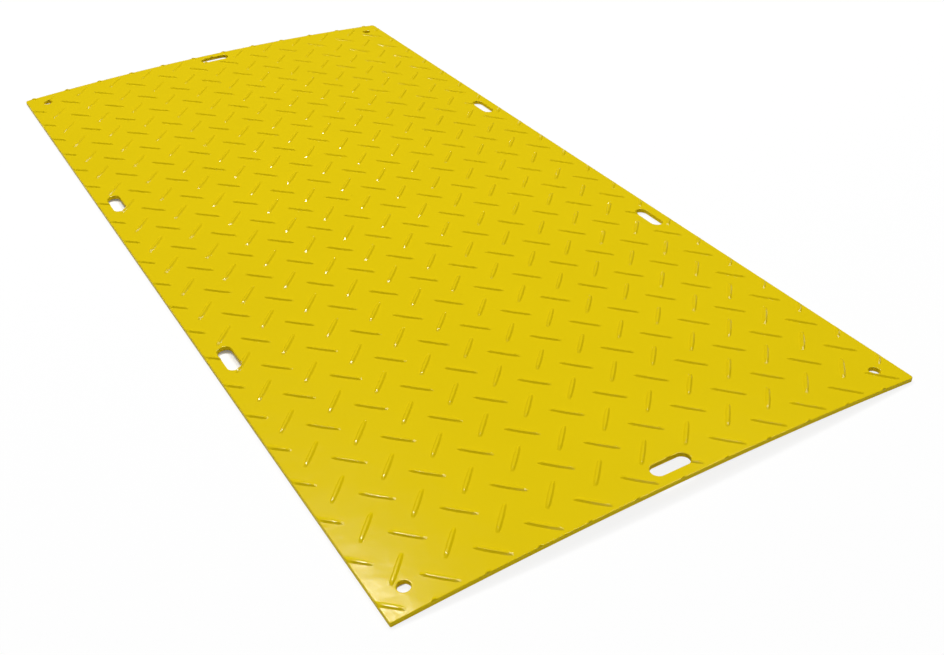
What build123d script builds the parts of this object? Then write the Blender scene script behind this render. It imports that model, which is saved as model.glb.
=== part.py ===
from build123d import *
import os
from math import cos, degrees, sin

os.makedirs("parts", exist_ok=True)

# Ground protection mat: one moulded polyethylene sheet.
# Millimetres. X runs across the sheet, Y along it, Z up from the floor.
# The sheet is slightly crowned: it stands on its two long edges.

# Sheet
sheet_width = 1220.0            # measured along the curve of the underside
sheet_length = 2440.0
sheet_thickness = 10.0          # without the tread
crown_radius = 8900.0           # radius of the underside
corner_radius = 9.0             # three of the corners
square_corner_radius = 2.5      # the near left corner is left almost square
upper_arris = 1.5               # chamfer of the upper edges of the outline

# Hand-hold slots
slot_length = 90.0
slot_width = 32.0
side_slot_inset = 44.0          # centre line to the long edge
side_slot_spacing = 808.0       # between the two slots of one long side
end_slot_inset = 42.0           # centre line to the short edge

# Corner holes for ties, pegs or connectors
hole_diameter = 25.0
hole_side_inset = 56.0          # centre to the long edge
hole_end_inset = 56.0           # centre to the short edge

# Tread: two crossing families of raised lens-shaped bars
bar_length = 74.0
bar_width = 12.5
bar_height = 3.4
bar_shoulder_length = 28.0      # the middle stretch that has the full width
bar_flank_angle = 45.0          # slope of the sides, from the vertical
bar_pitch_across = 104.7
bar_pitch_along = 115.0
bar_turn = 45.0                 # angle of each family to the length
falling_start_across = 29.5     # centre of one bar of the falling family
falling_start_along = -32.0

# How far a bar is rooted in the sheet, and where its foot straightens
bar_root = 3.0
bar_foot = 0.5
smallest_bar = 0.20             # share of a bar below which a trimmed scrap is left out

half_width = sheet_width / 2
half_length = sheet_length / 2
floor_drop = crown_radius * cos(half_width / crown_radius)


def on_sheet(across, along, turn=0.0):
    """A place on the upper face: across is measured along the curve."""
    tilt = degrees(across / crown_radius)
    lift = Location((0, 0, -floor_drop))
    swing = Location((0, 0, 0), (0, tilt, 0))
    out = Location((0, along, crown_radius + sheet_thickness), (0, 0, turn))
    return lift * swing * out


def section_point(across, height):
    """A point of the section, at a height above the underside."""
    r = crown_radius + height
    return (r * sin(across / crown_radius), r * cos(across / crown_radius) - floor_drop)


# The crown's upper face is drawn in flat strips, one under each column of bars
strip = bar_pitch_across / 2
strip_edges = [falling_start_across + (k + 0.5) * strip for k in range(-40, 40)]
strip_edges = [across for across in strip_edges if abs(across) < half_width - strip / 4]


def uprights(block, top):
    """The four short corner edges of the arched block."""
    return [e for e in block.edges() if e.length < 2 * top and abs((e @ 0).Z - (e @ 1).Z) > top / 2]


def arched_block(top):
    """The crowned section from the underside up to a height above it, at full length."""
    under = ThreePointArc(
        section_point(-half_width, 0), section_point(0, 0), section_point(half_width, 0)
    )
    right = Line(section_point(half_width, 0), section_point(half_width, top))
    over = Polyline([section_point(across, top) for across in [half_width] + strip_edges[::-1] + [-half_width]])
    left = Line(section_point(-half_width, top), section_point(-half_width, 0))
    section = Plane.XZ * make_face([under, right, over, left])
    block = extrude(section, half_length, both=True)
    near_left = [e for e in uprights(block, top) if (e @ 0).X < 0 and (e @ 0).Y < 0]
    block = fillet(near_left, square_corner_radius)
    others = [e for e in uprights(block, top) if (e @ 0).X > 0 or (e @ 0).Y > 0]
    return fillet(others, corner_radius)


def outline_edges(block):
    """The upper edges of the outline, where the upper face meets the sides."""
    steep = [face for face in block.faces() if face.normal_at().Z < 0.5]
    upper = [face for face in block.faces() if face.normal_at().Z > 0.9]
    edges = [edge for face in upper for edge in face.edges()]
    return [edge for edge in edges if min(face.distance_to(edge @ 0.5) for face in steep) < 0.001]


# Openings, as cutters that pass right through
side_across = half_width - side_slot_inset
end_along = half_length - end_slot_inset
hole_across = half_width - hole_side_inset
hole_along = half_length - hole_end_inset
slot_outline = SlotOverall(slot_length, slot_width)
slot_cutter = extrude(slot_outline, 2 * sheet_thickness, both=True)
hole_cutter = extrude(Circle(hole_diameter / 2), 2 * sheet_thickness, both=True)
cutters = []
for side in (-1, 1):
    for end in (-1, 1):
        cutters.append(on_sheet(side * side_across, end * side_slot_spacing / 2, 90) * slot_cutter)
        cutters.append(on_sheet(side * hole_across, end * hole_along) * hole_cutter)
for end in (-1, 1):
    cutters.append(on_sheet(0, end * end_along) * slot_cutter)

blank = arched_block(sheet_thickness)
sheet = chamfer(outline_edges(blank), upper_arris) - cutters

# One tread bar: a low lens with flat top, sloping flanks and a straight root
half = bar_length / 2
shoulder = bar_shoulder_length / 2
wide = bar_width / 2
lens = make_face(
    Polyline(
        (-half, 0),
        (-shoulder, -wide),
        (shoulder, -wide),
        (half, 0),
        (shoulder, wide),
        (-shoulder, wide),
        close=True,
    )
)
crest = extrude(lens, bar_height + bar_foot, taper=bar_flank_angle)
root = extrude(lens, bar_foot - bar_root)
bar = Location((0, 0, -bar_foot)) * (crest + root)

# The tread runs out over every edge and opening, so the bars there are cut flush
envelope = arched_block(sheet_thickness + 2 * bar_height) - cutters
reach = bar_length / 2
slots_at = [(side * side_across, end * side_slot_spacing / 2) for side in (-1, 1) for end in (-1, 1)]
slots_at += [(0, end * end_along) for end in (-1, 1)]
holes_at = [(side * hole_across, end * hole_along) for side in (-1, 1) for end in (-1, 1)]


def near_opening(across, along):
    """Whether a bar could meet a slot or a hole."""
    for x, y in slots_at:
        if abs(across - x) < reach + slot_length / 2 and abs(along - y) < reach + slot_length / 2:
            return True
    for x, y in holes_at:
        if abs(across - x) < reach + hole_diameter / 2 and abs(along - y) < reach + hole_diameter / 2:
            return True
    return False


bars = []
families = (
    (falling_start_across, falling_start_along, -bar_turn),
    (
        falling_start_across + bar_pitch_across / 2,
        falling_start_along + bar_pitch_along / 2,
        bar_turn,
    ),
)
columns = int(sheet_width / bar_pitch_across) + 2
rows = int(sheet_length / bar_pitch_along) + 2
for start_across, start_along, turn in families:
    for i in range(-columns, columns):
        for j in range(-rows, rows):
            across = start_across + i * bar_pitch_across
            along = start_along + j * bar_pitch_along
            over_side = abs(across) + reach > half_width
            over_end = abs(along) + reach > half_length
            if abs(across) > half_width + reach or abs(along) > half_length + reach:
                continue
            placed = on_sheet(across, along, turn) * bar
            if over_side or over_end or near_opening(across, along):
                clipped = placed & envelope
                pieces = clipped.solids() if clipped is not None else []
                # A scrap of a bar, such as a tip alone, was lost when the edge was trimmed
                bars += [piece for piece in pieces if piece.volume > smallest_bar * bar.volume]
            else:
                bars.append(placed)

mat = sheet + bars
export_step(mat, "parts/mat.step")
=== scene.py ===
import math

import bpy
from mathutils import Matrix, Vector
from mathutils.bvhtree import BVHTree
from mathutils.geometry import delaunay_2d_cdt
from mathutils.interpolate import poly_3d_calc


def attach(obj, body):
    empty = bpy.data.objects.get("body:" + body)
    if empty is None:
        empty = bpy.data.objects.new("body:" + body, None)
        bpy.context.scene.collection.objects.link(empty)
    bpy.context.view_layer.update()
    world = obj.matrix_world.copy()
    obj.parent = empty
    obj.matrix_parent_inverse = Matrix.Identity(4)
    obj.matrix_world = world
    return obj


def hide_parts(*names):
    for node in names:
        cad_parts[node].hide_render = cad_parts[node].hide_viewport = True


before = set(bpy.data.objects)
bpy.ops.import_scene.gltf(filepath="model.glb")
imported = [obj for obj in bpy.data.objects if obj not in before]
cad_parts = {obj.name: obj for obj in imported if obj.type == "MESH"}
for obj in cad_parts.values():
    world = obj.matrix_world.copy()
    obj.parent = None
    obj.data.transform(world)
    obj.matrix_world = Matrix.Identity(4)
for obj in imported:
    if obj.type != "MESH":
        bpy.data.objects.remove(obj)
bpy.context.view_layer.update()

# Ground protection mat, moulded in one piece from yellow polyethylene. Lengths are in metres.
# The sheet is drawn flat, in distances across and along it, and then laid over its crown.
MM = 0.001

# Sheet
SHEET_WIDTH = 1220 * MM
SHEET_LENGTH = 2440 * MM
SHEET_THICKNESS = 10 * MM
CROWN_RADIUS = 8900 * MM
CORNER_RADIUS = 9 * MM
SQUARE_CORNER_RADIUS = 2.5 * MM      # the near left corner alone
ARRIS_RADIUS = 2.3 * MM              # rounding of every upper edge
ARRIS_STEPS = 8
ARRIS_MARGIN = 1 * MM                # one more ring of points lies this far inland of the rounding
UNDER_CHAMFER = 0.9 * MM

# Hand slots and corner holes
SLOT_LENGTH = 90 * MM
SLOT_WIDTH = 32 * MM
SIDE_SLOT_INSET = 44 * MM
SIDE_SLOT_SPACING = 808 * MM
END_SLOT_INSET = 42 * MM
HOLE_DIAMETER = 25 * MM
HOLE_INSET = 56 * MM                 # centre to both edges

# Tread bars
BAR_PITCH_ACROSS = 104.7 * MM
BAR_PITCH_ALONG = 115 * MM
BAR_TURN = math.radians(47)
FALLING_START = (29.5 * MM, -32 * MM)
BAR_COLUMNS = 13                     # of each family, enough to run out past every edge
BAR_ROWS = 23
RING_POINTS = 10
RING_SQUARENESS = 3.2                # 2 is an ellipse; more gives fuller sides and blunter ends
# The rings of a bar, from the outside in: half length, half width, height above the face
SWELL_RING = (42.5 * MM, 9.5 * MM, 0)
FOOT_RING = (37.6 * MM, 5.9 * MM, 0.05 * MM)
FLANK_RING = (33.5 * MM, 3.8 * MM, 1.5 * MM)
CREST_RING = (28.5 * MM, 2.2 * MM, 2.9 * MM)
CREST_TOP = 3 * MM                   # at the middle of the crest, which is a little rounded across
CREST_INNER = (0.88, 0.45)           # its innermost ring, as shares of the crest's length and width
CREST_LEVEL = 10 * MM                # half the level stretch of the crest
CREST_RADIUS = 900 * MM              # from there it falls in a long arc, and then down to the tip
SIDE_FADE = 8 * MM                   # the bars sink into the long edges over this distance
END_FADE = 2.5 * MM                  # and into the short ones over this one

# Points of the mesh
CORNER_STEPS = 4                     # straight stretches in a rounded corner
OPENING_STEPS = 24                   # points round an opening
LEAST_REACH = 0.02 * MM              # a corner's ring is never drawn in to one point
RING_SLACK = 0.5 * MM                # more than the straight stretches of a ring stray from its curve
RING_SPACING = BAR_PITCH_ACROSS / 4  # longest stretch of a ring, and the grid's spacing across
GRID_ALONG = BAR_PITCH_ALONG / 2
GRID_TO_EDGE = 6 * MM                # the grid keeps this far from every edge
GRID_TO_BAR = 2 * MM                 # and this far from the bars
ON_BAR = 0.01 * MM                   # a place this near a bar's outline counts as on it
MERGED = 0.002 * MM                  # points nearer than this become one
SLOPE_PROBE = 0.05 * MM              # half the distance over which the way inland is measured
SHARP_TURN = math.radians(12)        # faces that turn more than this meet in a sharp edge

# The moulded face: width and height of its patterns
CLOUD_WIDTH = 300 * MM               # faint clouds in the colour
WAVE_WIDTH = 50 * MM                 # the face isn't pressed quite flat
WAVE_HEIGHT = 0.6 * MM
PEEL_WIDTH = 3 * MM                  # a fine peel, drawn as coarse as it needs to show
PEEL_HEIGHT = 0.006 * MM

# Floor, in metres. Beneath the mat's left edge a band of it has painted shade: less plain white is mixed in
# there, so the camera sees it darker than the rest
FLOOR_HALF_SIDE = 45
FLOOR_WHITE = 0.86                   # share of plain white in what the camera sees
PAINTED_SHADE_DEPTH = 0.75                   # what is missing of that share in the band of painted shade
PAINTED_SHADE_MIDDLE = -0.55
PAINTED_SHADE_HALF_WIDTH = 0.055
PAINTED_SHADE_HALF_LENGTH = 1.15

# Light and camera
WORLD_STRENGTH = 0.03
FOCAL_LENGTH = 43.2026               # millimetres, on a sensor 36 mm wide
SENSOR_WIDTH = 36
CAMERA_PLACE = (-1.1110, -2.3407, 1.4460)
CAMERA_TURNS = (54.9411, 0.7834, -31.1967)
VIEW_DEPTH = 100

half_width = SHEET_WIDTH / 2
half_length = SHEET_LENGTH / 2
crown_drop = CROWN_RADIUS * math.cos(half_width / CROWN_RADIUS)


def over_the_crown(across, along, height):
    """A place on the crowned sheet, height above its underside."""
    turn = across / CROWN_RADIUS
    radius = CROWN_RADIUS + height
    return Vector((radius * math.sin(turn), along, radius * math.cos(turn) - crown_drop))


def colour(code):
    """A hex colour as linear values."""
    parts = [int(code[k:k + 2], 16) / 255 for k in (1, 3, 5)]
    return [v / 12.92 if v <= 0.04045 else ((v + 0.055) / 1.055) ** 2.4 for v in parts] + [1]


def add_node(tree, kind, links=(), **settings):
    """A node with its settings, and its inputs as values or as links from other sockets."""
    node = tree.nodes.new(kind)
    for name, value in settings.items():
        setattr(node, name, value)
    for name, value in dict(links).items():
        if isinstance(value, bpy.types.NodeSocket):
            tree.links.new(value, node.inputs[name])
        else:
            node.inputs[name].default_value = value
    return node


# Openings: place across and along, half the straight run, radius, and whether it runs along
slot_run = (SLOT_LENGTH - SLOT_WIDTH) / 2
side_across = half_width - SIDE_SLOT_INSET
end_along = half_length - END_SLOT_INSET
openings = []
for side in (-1, 1):
    for end in (-1, 1):
        openings.append((side * side_across, end * SIDE_SLOT_SPACING / 2, slot_run, SLOT_WIDTH / 2, True))
        hole = (side * (half_width - HOLE_INSET), end * (half_length - HOLE_INSET))
        openings.append((*hole, 0, HOLE_DIAMETER / 2, False))
for end in (-1, 1):
    openings.append((0, end * end_along, slot_run, SLOT_WIDTH / 2, False))


def corner_radius(across, along):
    """The radius of the outline's corner nearest to a place."""
    return SQUARE_CORNER_RADIUS if across < 0 and along < 0 else CORNER_RADIUS


def distance_inland(across, along):
    """How far a place is from the nearest edge of the sheet, less than nothing off it."""
    radius = corner_radius(across, along)
    beyond_x = abs(across) - half_width + radius
    beyond_y = abs(along) - half_length + radius
    outside = math.hypot(max(beyond_x, 0), max(beyond_y, 0)) + min(max(beyond_x, beyond_y), 0)
    inland = radius - outside
    for x, y, run, opening_radius, runs_along in openings:
        dx, dy = across - x, along - y
        if runs_along:
            dx, dy = dy, dx
        gap = math.hypot(max(abs(dx) - run, 0), dy) - opening_radius
        inland = min(inland, gap)
    return inland


def outline_ring(inset):
    """The outline as a closed ring of points, drawn in from the edge."""
    ring = []
    for sx, sy, start in ((1, -1, -90), (1, 1, 0), (-1, 1, 90), (-1, -1, 180)):
        radius = corner_radius(sx, sy)
        cx, cy = sx * (half_width - radius), sy * (half_length - radius)
        reach = max(radius - inset, LEAST_REACH)
        for k in range(CORNER_STEPS + 1):
            turn = math.radians(start + 90 * k / CORNER_STEPS)
            ring.append((cx + reach * math.cos(turn), cy + reach * math.sin(turn)))
    return ring


def opening_ring(opening, outset):
    """An opening as a closed ring of points, drawn out from its edge."""
    x, y, run, radius, runs_along = opening
    ring = []
    for k in range(OPENING_STEPS):
        turn = 2 * math.pi * (k + 0.5) / OPENING_STEPS
        dx = (radius + outset) * math.cos(turn) + math.copysign(run, math.cos(turn))
        dy = (radius + outset) * math.sin(turn)
        ring.append((x + dy, y + dx) if runs_along else (x + dx, y + dy))
    return ring


def divided(ring, longest):
    """A closed ring with its long stretches divided."""
    points = []
    for (ax, ay), (bx, by) in zip(ring, ring[1:] + ring[:1]):
        parts = max(1, math.ceil(math.hypot(bx - ax, by - ay) / longest))
        points += [(ax + (bx - ax) * k / parts, ay + (by - ay) * k / parts) for k in range(parts)]
    return points


def within(ring, x, y):
    """Whether a place is inside a ring that bulges everywhere."""
    sides = [
        (bx - ax) * (y - ay) - (by - ay) * (x - ax) > 0
        for (ax, ay), (bx, by) in zip(ring, ring[1:] + ring[:1])
    ]
    return all(sides) or not any(sides)


def on_sheet(across, along, outline, opening_rings):
    """Whether a place is on the sheet, judged by its rings of straight stretches."""
    inland = distance_inland(across, along)
    if abs(inland) > RING_SLACK:
        return inland > 0
    in_opening = any(within(ring, across, along) for ring in opening_rings)
    return within(outline, across, along) and not in_opening


def arris_drop(inland):
    """How far the rounded edge has fallen below the face at a distance from it."""
    if inland >= ARRIS_RADIUS:
        return 0
    return ARRIS_RADIUS - math.sqrt(max(ARRIS_RADIUS ** 2 - (ARRIS_RADIUS - inland) ** 2, 0))


def crest_drop(u):
    """How far the crest has fallen below its middle, at a distance along the bar."""
    return max(abs(u) - CREST_LEVEL, 0) ** 2 / (2 * CREST_RADIUS)


def bar_ring(half_run, half_wide, height):
    """One ring of points round a bar."""
    ring = []
    for k in range(RING_POINTS):
        turn = 2 * math.pi * (k + 0.5) / RING_POINTS
        u, v = [
            math.copysign(half * abs(part) ** (2 / RING_SQUARENESS), part)
            for half, part in ((half_run, math.cos(turn)), (half_wide, math.sin(turn)))
        ]
        ring.append((u, v, height))
    return ring


def one_bar():
    """One tread bar as an open skin: a soft swell, sloping flanks and a crest that falls to blunt tips."""
    swell, foot, flank = bar_ring(*SWELL_RING), bar_ring(*FOOT_RING), bar_ring(*FLANK_RING)
    crest = [(u, v, height - crest_drop(u)) for u, v, height in bar_ring(*CREST_RING)]
    run, wide = CREST_INNER
    inner = [(run * u, wide * v, CREST_TOP - crest_drop(run * u)) for u, v, _ in crest]
    rings = [swell, foot, flank, crest, inner]
    points = [point for ring in rings for point in ring]
    faces = []
    for ring in range(len(rings) - 1):
        for k in range(RING_POINTS):
            a, b = ring * RING_POINTS + k, ring * RING_POINTS + (k + 1) % RING_POINTS
            faces.append((a, b, b + RING_POINTS, a + RING_POINTS))
    top = len(points) - RING_POINTS
    for k in range(RING_POINTS // 2 - 1):
        faces.append((top + k, top + k + 1, top + RING_POINTS - 2 - k, top + RING_POINTS - 1 - k))
    mesh = bpy.data.meshes.new("tread_bar")
    mesh.from_pydata(points, [], faces)
    return mesh


def tread_pattern_tree(material):
    """Lays one bar out in two crossing families, the second set half a pitch off the first."""
    tree = bpy.data.node_groups.new("tread_pattern", "GeometryNodeTree")
    face = tree.interface
    face.new_socket("Geometry", in_out="INPUT", socket_type="NodeSocketGeometry")
    for name in ("Pitch Across", "Pitch Along", "Start Across", "Start Along", "Turn"):
        face.new_socket(name, in_out="INPUT", socket_type="NodeSocketFloat")
    for name in ("Columns", "Rows"):
        face.new_socket(name, in_out="INPUT", socket_type="NodeSocketInt")
    face.new_socket("Geometry", in_out="OUTPUT", socket_type="NodeSocketGeometry")
    given = add_node(tree, "NodeGroupInput").outputs

    def product(a, b):
        return add_node(tree, "ShaderNodeMath", {0: a, 1: b}, operation="MULTIPLY").outputs[0]

    def total(a, b):
        return add_node(tree, "ShaderNodeMath", {0: a, 1: b}, operation="ADD").outputs[0]

    size_across = product(given["Pitch Across"], total(given["Columns"], -1))
    size_along = product(given["Pitch Along"], total(given["Rows"], -1))
    places = add_node(tree, "GeometryNodeMeshGrid", {
        "Size X": size_across, "Size Y": size_along,
        "Vertices X": given["Columns"], "Vertices Y": given["Rows"],
    }).outputs["Mesh"]
    families = []
    for direction, offset in ((-1, 0), (1, 0.5)):
        across = total(given["Start Across"], product(given["Pitch Across"], offset))
        along = total(given["Start Along"], product(given["Pitch Along"], offset))
        shift = add_node(tree, "ShaderNodeCombineXYZ", {"X": across, "Y": along}).outputs[0]
        moved = add_node(tree, "GeometryNodeTransform", {"Geometry": places, "Translation": shift})
        turned = add_node(tree, "ShaderNodeCombineXYZ", {"Z": product(given["Turn"], direction)}).outputs[0]
        laid = add_node(tree, "GeometryNodeInstanceOnPoints", {
            "Points": moved.outputs[0], "Instance": given["Geometry"], "Rotation": turned,
        })
        families.append(laid.outputs[0])
    joined = add_node(tree, "GeometryNodeJoinGeometry")
    for family in families:
        tree.links.new(family, joined.inputs[0])
    real = add_node(tree, "GeometryNodeRealizeInstances", {"Geometry": joined.outputs[0]})
    painted = add_node(tree, "GeometryNodeSetMaterial", {"Geometry": real.outputs[0], "Material": material})
    add_node(tree, "NodeGroupOutput", {"Geometry": painted.outputs[0]})
    return tree


def laid_tread(material):
    """The whole tread as one flat mesh: two families of bars that run out past the sheet's edges."""
    piece = bpy.data.objects.new("tread", one_bar())
    bpy.context.collection.objects.link(piece)
    modifier = piece.modifiers.new("tread", "NODES")
    modifier.node_group = tread_pattern_tree(material)
    values = {
        "Pitch Across": BAR_PITCH_ACROSS, "Pitch Along": BAR_PITCH_ALONG,
        "Start Across": FALLING_START[0], "Start Along": FALLING_START[1],
        "Turn": BAR_TURN, "Columns": BAR_COLUMNS, "Rows": BAR_ROWS,
    }
    for item in modifier.node_group.interface.items_tree:
        if item.in_out == "INPUT" and item.name in values:
            modifier[item.identifier] = values[item.name]
    shown = piece.evaluated_get(bpy.context.evaluated_depsgraph_get())
    mesh = bpy.data.meshes.new_from_object(shown)
    bpy.data.objects.remove(piece)
    return mesh


def sheet_mesh(material, edge_material):
    """The sheet with its tread as one skin."""
    tread = laid_tread(material)
    corners = [v.co.copy() for v in tread.vertices]
    cells = [tuple(p.vertices) for p in tread.polygons]
    flat = [Vector((c.x, c.y, 0)) for c in corners]
    footprint = BVHTree.FromPolygons(flat, cells)

    def tread_height(across, along):
        spot = Vector((across, along, 0))
        place, _, cell, gap = footprint.find_nearest(spot)
        if gap > ON_BAR:
            return 0
        shares = poly_3d_calc([flat[k] for k in cells[cell]], place)
        return sum(share * corners[k].z for share, k in zip(shares, cells[cell]))

    # The plan: the bars' corners, the rings along every edge and a grid that takes the crown
    plan = [Vector((c.x, c.y)) for c in corners]
    heights = {k: c.z for k, c in enumerate(corners)}
    lines = [tuple(e.vertices) for e in tread.edges]
    turns = [math.pi / 2 * k / ARRIS_STEPS for k in range(ARRIS_STEPS + 1)]
    insets = [ARRIS_RADIUS * (1 - math.cos(turn)) for turn in turns] + [ARRIS_RADIUS + ARRIS_MARGIN]
    for inset in insets:
        rings = [divided(outline_ring(inset), RING_SPACING)]
        rings += [divided(opening_ring(opening, inset), RING_SPACING) for opening in openings]
        for ring in rings:
            first = len(plan)
            plan += [Vector(point) for point in ring]
            lines += [(first + k, first + (k + 1) % len(ring)) for k in range(len(ring))]
    grid = []
    across_count = round(SHEET_WIDTH / RING_SPACING)
    along_count = round(SHEET_LENGTH / GRID_ALONG)
    for i in range(1, across_count):
        for j in range(1, along_count):
            across = -half_width + SHEET_WIDTH * i / across_count
            along = -half_length + SHEET_LENGTH * j / along_count
            if distance_inland(across, along) > GRID_TO_EDGE:
                grid.append((across, along))
    for across, along in grid:
        if footprint.find_nearest(Vector((across, along, 0)))[3] > GRID_TO_BAR:
            plan.append(Vector((across, along)))

    spots, _, triangles, origins, _, _ = delaunay_2d_cdt(plan, lines, [], 0, MERGED)
    points = []
    for spot, origin in zip(spots, origins):
        known = [heights[k] for k in origin if k in heights]
        rise = known[0] if known else tread_height(spot.x, spot.y)
        inland = max(distance_inland(spot.x, spot.y), 0)
        fade = min((half_width - abs(spot.x)) / SIDE_FADE, (half_length - abs(spot.y)) / END_FADE, 1)
        rise *= max(fade, 0)
        points.append((spot.x, spot.y, SHEET_THICKNESS + rise - arris_drop(inland)))
    upper = []
    outline = outline_ring(0)
    opening_rings = [opening_ring(opening, 0) for opening in openings]
    for a, b, c in triangles:
        middle = (spots[a] + spots[b] + spots[c]) / 3
        if on_sheet(middle.x, middle.y, outline, opening_rings):
            upper.append((a, b, c))

    # Each open edge of the upper face goes down a side wall to the underside
    after = {}
    seen = {(f[k], f[(k + 1) % 3]) for f in upper for k in range(3)}
    for a, b in seen:
        if (b, a) not in seen:
            after[a] = b
    wall_steps = ((UNDER_CHAMFER, 0), (0, UNDER_CHAMFER))    # height above the underside, distance inland
    columns = {}
    for k in after:
        across, along = points[k][:2]
        dx = distance_inland(across + SLOPE_PROBE, along) - distance_inland(across - SLOPE_PROBE, along)
        dy = distance_inland(across, along + SLOPE_PROBE) - distance_inland(across, along - SLOPE_PROBE)
        size = math.hypot(dx, dy)
        columns[k] = [k]
        for height, inset in wall_steps:
            columns[k].append(len(points))
            points.append((across + inset * dx / size, along + inset * dy / size, height))
    walls = []
    for a, b in after.items():
        down_a, down_b = columns[a], columns[b]
        for upper_a, upper_b, lower_a, lower_b in zip(down_a, down_b, down_a[1:], down_b[1:]):
            walls.append((upper_b, upper_a, lower_a, lower_b))

    # The underside is plain, with the grid for its crown
    rim = {k: n for n, k in enumerate(after)}
    under_plan = [Vector(points[columns[k][-1]][:2]) for k in rim] + [Vector(g) for g in grid]
    under_lines = [(rim[a], rim[b]) for a, b in after.items()]
    spots, _, triangles, origins, _, _ = delaunay_2d_cdt(under_plan, under_lines, [], 0, MERGED)
    order = list(rim)
    numbers = []
    for spot, origin in zip(spots, origins):
        if origin and origin[0] < len(order):
            numbers.append(columns[order[origin[0]]][-1])
        else:
            numbers.append(len(points))
            points.append((spot.x, spot.y, 0))
    # A fault: some slivers just inside the openings' rims pass the test below, so they are left in the holes
    under = []
    for a, b, c in triangles:
        middle = (spots[a] + spots[b] + spots[c]) / 3
        if distance_inland(middle.x, middle.y) > UNDER_CHAMFER / 2:
            under.append((numbers[c], numbers[b], numbers[a]))

    faces = upper + walls + under
    used = sorted({k for face in faces for k in face})
    renumbered = {k: n for n, k in enumerate(used)}
    mesh = bpy.data.meshes.new("mat_sheet")
    mesh.from_pydata(
        [over_the_crown(*points[k]) for k in used],
        [],
        [[renumbered[k] for k in face] for face in faces],
    )
    mesh.materials.append(material)
    mesh.materials.append(edge_material)
    for face in mesh.polygons[len(upper):len(upper) + len(walls)]:
        face.material_index = 1
    bpy.data.meshes.remove(tread)
    return mesh


def moulded_polyethylene():
    """Compression-moulded HDPE: a deep warm yellow with a soft gloss and a faintly uneven face."""
    material = bpy.data.materials.new("compression_moulded_hdpe")
    material.use_nodes = True
    tree = material.node_tree
    tree.nodes.clear()
    place = add_node(tree, "ShaderNodeTexCoord").outputs["Object"]
    cloud = add_node(tree, "ShaderNodeTexNoise", {"Vector": place, "Scale": 1 / CLOUD_WIDTH, "Detail": 3})
    tone = add_node(tree, "ShaderNodeMix", {
        "Factor": cloud.outputs[0], 6: colour("#DEC308"), 7: colour("#E3C80A"),
    }, data_type="RGBA")
    uneven = add_node(tree, "ShaderNodeTexNoise", {"Vector": place, "Scale": 1 / WAVE_WIDTH, "Detail": 3})
    peel = add_node(tree, "ShaderNodeTexNoise", {"Vector": place, "Scale": 1 / PEEL_WIDTH, "Detail": 1})
    waves = add_node(tree, "ShaderNodeMath", {0: uneven.outputs[0], 1: WAVE_HEIGHT}, operation="MULTIPLY")
    grain = add_node(tree, "ShaderNodeMath", {
        0: peel.outputs[0], 1: PEEL_HEIGHT, 2: waves.outputs[0],
    }, operation="MULTIPLY_ADD")
    relief = add_node(tree, "ShaderNodeBump", {
        "Height": grain.outputs[0], "Distance": 1.0, "Strength": 1.0,
    })
    surface = add_node(tree, "ShaderNodeBsdfPrincipled", {
        "Base Color": tone.outputs[2], "Roughness": 0.15, "IOR": 1.5, "Specular IOR Level": 0.2,
        "Normal": relief.outputs[0],
    })
    add_node(tree, "ShaderNodeOutputMaterial", {"Surface": surface.outputs[0]})
    return material


def trimmed_polyethylene():
    """HDPE trimmed with a cutter, on the outer walls and in the openings: the same yellow, but matt."""
    material = bpy.data.materials.new("trimmed_hdpe")
    material.use_nodes = True
    tree = material.node_tree
    tree.nodes.clear()
    surface = add_node(tree, "ShaderNodeBsdfPrincipled", {
        "Base Color": colour("#E0C508"), "Roughness": 0.7, "Specular IOR Level": 0.05,
    })
    add_node(tree, "ShaderNodeOutputMaterial", {"Surface": surface.outputs[0]})
    return material


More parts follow.
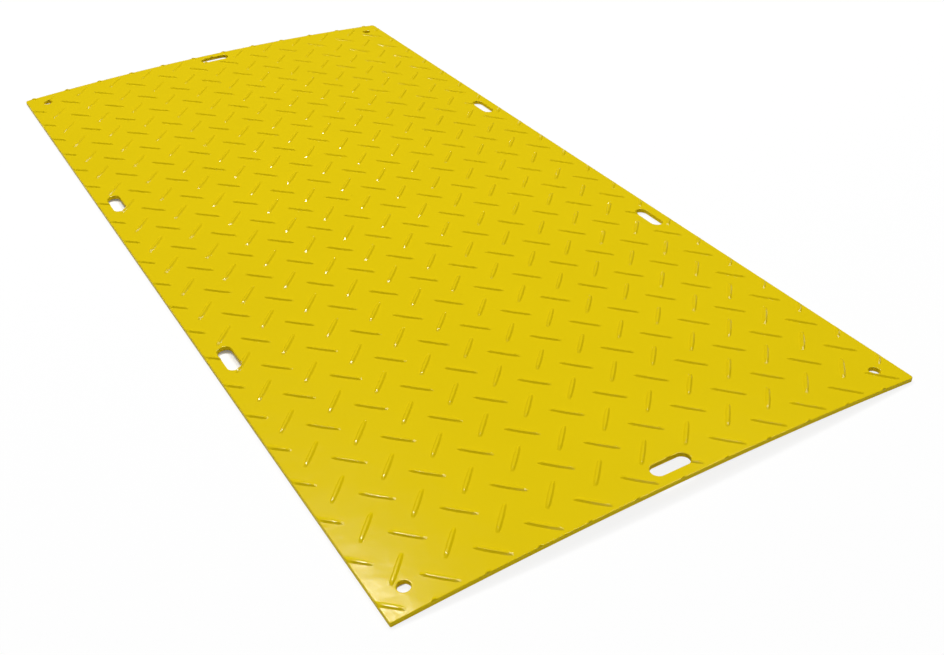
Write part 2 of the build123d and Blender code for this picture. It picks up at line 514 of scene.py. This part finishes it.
def pale_floor():
    """A plain pale floor, wide enough to fill the view.

    It keeps the mat's shadow, and the camera sees it near white, except for a band of painted shade beneath
    the mat's left edge.
    """
    far = FLOOR_HALF_SIDE
    mesh = bpy.data.meshes.new("floor")
    mesh.from_pydata([(-far, -far, 0), (far, -far, 0), (far, far, 0), (-far, far, 0)], [], [(0, 1, 2, 3)])
    material = bpy.data.materials.new("matt_white_floor_painted_shade")
    material.use_nodes = True
    tree = material.node_tree
    tree.nodes.clear()
    paper = add_node(tree, "ShaderNodeBsdfDiffuse", {"Color": colour("#FAFAFA")})
    white = add_node(tree, "ShaderNodeEmission", {"Color": colour("#FFFFFF"), "Strength": 1})
    ray = add_node(tree, "ShaderNodeLightPath").outputs
    seen = add_node(tree, "ShaderNodeMath", {
        0: ray["Is Camera Ray"], 1: ray["Is Glossy Ray"],
    }, operation="ADD")
    seen = add_node(tree, "ShaderNodeMath", {
        0: seen.outputs[0], 1: ray["Is Transmission Ray"],
    }, operation="ADD")
    place = add_node(tree, "ShaderNodeTexCoord").outputs["Object"]
    across, along, _ = add_node(tree, "ShaderNodeSeparateXYZ", {0: place}).outputs
    # Painted shade: beneath the mat's left edge less plain white is mixed in, so the floor's shadow there
    # shows darker
    between_sides = add_node(tree, "ShaderNodeMath", {
        0: across, 1: PAINTED_SHADE_MIDDLE, 2: PAINTED_SHADE_HALF_WIDTH,
    }, operation="COMPARE")
    between_ends = add_node(tree, "ShaderNodeMath", {
        0: along, 1: 0, 2: PAINTED_SHADE_HALF_LENGTH,
    }, operation="COMPARE")
    painted_shade_strip = add_node(tree, "ShaderNodeMath", {
        0: between_sides.outputs[0], 1: between_ends.outputs[0],
    }, operation="MULTIPLY")
    white_share = add_node(tree, "ShaderNodeMath", {
        0: painted_shade_strip.outputs[0], 1: -PAINTED_SHADE_DEPTH, 2: FLOOR_WHITE,
    }, operation="MULTIPLY_ADD")
    share = add_node(tree, "ShaderNodeMath", {
        0: seen.outputs[0], 1: white_share.outputs[0],
    }, operation="MULTIPLY")
    mixed = add_node(tree, "ShaderNodeMixShader", {
        0: share.outputs[0], 1: paper.outputs[0], 2: white.outputs[0],
    })
    add_node(tree, "ShaderNodeOutputMaterial", {"Surface": mixed.outputs[0]})
    mesh.materials.append(material)
    floor = bpy.data.objects.new("floor", mesh)
    bpy.context.collection.objects.link(floor)


def softbox(name, azimuth, elevation, distance, size, share):
    """A softbox, of a width and a height, aimed at the middle of the mat.

    Azimuth is from +Y towards +X, and both angles are in degrees. Share is the part that it gives of the
    plain light level, at which a colour shows as it is written.
    """
    turn, rise = math.radians(azimuth), math.radians(elevation)
    towards = Vector((math.cos(rise) * math.sin(turn), math.cos(rise) * math.cos(turn), math.sin(rise)))
    lamp = bpy.data.lights.new(name, "AREA")
    lamp.shape = "RECTANGLE"
    lamp.size, lamp.size_y = size
    lamp.energy = share * (math.pi * distance) ** 2 / math.sin(rise)
    holder = bpy.data.objects.new(name, lamp)
    holder.location = distance * towards
    holder.rotation_euler = (-towards).to_track_quat("-Z", "Y").to_euler()
    bpy.context.collection.objects.link(holder)


def studio():
    """A dim white surrounding, a large key light from the far end, a side light and a faint fill."""
    world = bpy.data.worlds.new("studio")
    world.use_nodes = True
    background = world.node_tree.nodes["Background"]
    background.inputs["Color"].default_value = colour("#FFFFFF")
    background.inputs["Strength"].default_value = WORLD_STRENGTH
    bpy.context.scene.world = world
    softbox("key_softbox", -2, 61, 12, (3.4, 2.4), 0.66)
    softbox("side_softbox", 72, 58, 14, (5.5, 5.5), 0.34)
    softbox("fill_softbox", 204, 41, 5, (2.6, 2.6), 0.07)


def camera():
    """The photograph's viewpoint, solved from the mat's own outline and tread."""
    data = bpy.data.cameras.new("camera")
    data.sensor_width = SENSOR_WIDTH
    data.lens = FOCAL_LENGTH
    data.clip_end = VIEW_DEPTH
    holder = bpy.data.objects.new("camera", data)
    holder.location = CAMERA_PLACE
    holder.rotation_euler = [math.radians(v) for v in CAMERA_TURNS]
    bpy.context.collection.objects.link(holder)
    bpy.context.scene.camera = holder


polyethylene = moulded_polyethylene()
mat = bpy.data.objects.new("mat_sheet", sheet_mesh(polyethylene, trimmed_polyethylene()))
bpy.context.collection.objects.link(mat)
mat.data.shade_smooth()
mat.data.set_sharp_from_angle(angle=SHARP_TURN)
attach(mat, "root")
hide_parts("mat")

pale_floor()
studio()
camera()
bpy.context.scene.view_settings.view_transform = "Standard"
